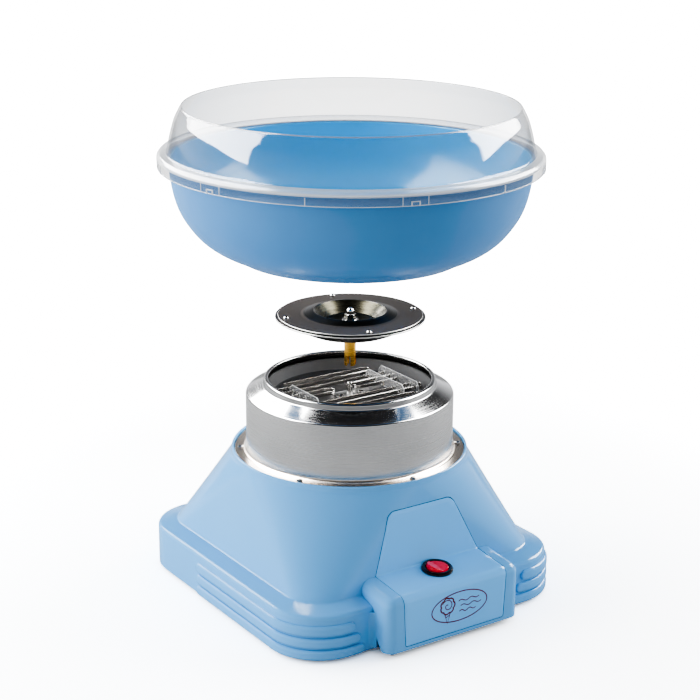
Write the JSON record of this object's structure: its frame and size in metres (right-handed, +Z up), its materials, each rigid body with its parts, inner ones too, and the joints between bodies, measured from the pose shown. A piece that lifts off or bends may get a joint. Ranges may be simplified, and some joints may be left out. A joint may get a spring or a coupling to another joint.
{
  "type": "cotton candy machine",
  "caption": "Table-top cotton candy machine: flared square base with a heater collar, spinner head, catch bowl and clear splash shield, laid out lifted apart along one axis.",
  "frame": {"origin": "on the floor, on the spindle's axis", "axes": "+Z up along the spindle, -Y towards the console and its switch, X across"},
  "size_m": [0.2882, 0.2882, 0.379],
  "materials": {
    "pastel_abs": "glossy pastel blue moulded ABS",
    "bowl_plastic": "glossy, slightly translucent blue plastic",
    "clear_plastic": "clear polished plastic with a frosted bead",
    "stainless": "brushed sheet with a polished shoulder",
    "satin_steel": "satin pressed sheet",
    "bright_steel": "bright plated fasteners and shaft",
    "black_metal": "dark satin coated disc with a glossy middle",
    "aluminium": "dull spun aluminium",
    "brass": "bright turned brass",
    "rubber": "grey rubber",
    "black_plastic": "black moulded plastic",
    "red_plastic": "glossy red rocker",
    "mica": "thin flaky insulating sheet, grey-beige",
    "nichrome": "flat heating ribbon",
    "winding": "varnished copper winding"
  },
  "bodies": {
    "base": {"base_plate": "pastel_abs", "base_screw_1": "bright_steel", "base_screw_2": "bright_steel", "base_screw_3": "bright_steel", "base_screw_4": "bright_steel", "base_shell": "pastel_abs", "bearing_plate": "bright_steel", "collar": "stainless", "collar_screw_1": "bright_steel", "collar_screw_2": "bright_steel", "collar_screw_3": "bright_steel", "collar_screw_4": "bright_steel", "collar_screw_5": "bright_steel", "collar_screw_6": "bright_steel", "cord_bush": "black_plastic", "foot_1": "rubber", "foot_2": "rubber", "foot_3": "rubber", "foot_4": "rubber", "front_panel": "pastel_abs", "heat_shield": "satin_steel", "heater_pan": "satin_steel", "heating_ribbon_center": "nichrome", "heating_ribbon_front": "nichrome", "heating_ribbon_rear": "nichrome", "mica_left": "mica", "mica_middle": "mica", "mica_right": "mica", "motor_housing": "satin_steel", "motor_mount_1": "rubber", "motor_mount_2": "rubber", "motor_stator": "winding", "motor_strap": "satin_steel", "plate_screw_1": "bright_steel", "plate_screw_2": "bright_steel", "switch_body": "black_plastic", "terminal_block": "black_plastic", "thermal_cutout": "black_plastic"},
    "switch": {"switch_rocker": "red_plastic"},
    "motor_rotor": {"motor_shaft": "bright_steel", "drive_pin": "bright_steel", "motor_armature": "winding", "cooling_fan": "black_plastic"},
    "spinner_head": {"head_disc": "black_metal", "head_pan": "aluminium", "drive_sleeve": "brass", "head_spacer": "bright_steel", "head_washer": "bright_steel", "cap_nut": "bright_steel", "rivet_1": "bright_steel", "rivet_2": "bright_steel", "rivet_3": "bright_steel", "rivet_4": "bright_steel"},
    "bowl": {"catch_bowl": "bowl_plastic"},
    "shield": {"splash_shield": "clear_plastic"}
  },
  "joints": [
    {"name": "switch_rock", "type": "hinge", "parent": "base", "child": "switch", "pos_m": [0, -0.11707, 0.05003], "axis": [0, 0.9958, 0.0911], "range_deg": [-20, 0]},
    {"name": "motor_spin", "type": "hinge", "parent": "base", "child": "motor_rotor", "pos_m": [0, 0, 0.1], "axis": [0, 0, 1], "continuous": true},
    {"name": "head_slide", "type": "slide", "parent": "motor_rotor", "child": "spinner_head", "axis": [0, 0, 1], "range_m": [-0.0225, 0]},
    {"name": "bowl_slide", "type": "slide", "parent": "base", "child": "bowl", "axis": [0, 0, 1], "range_m": [-0.1535, 0]},
    {"name": "shield_slide", "type": "slide", "parent": "bowl", "child": "shield", "axis": [0, 0, 1], "range_m": [0, 0.05]}
  ]
}
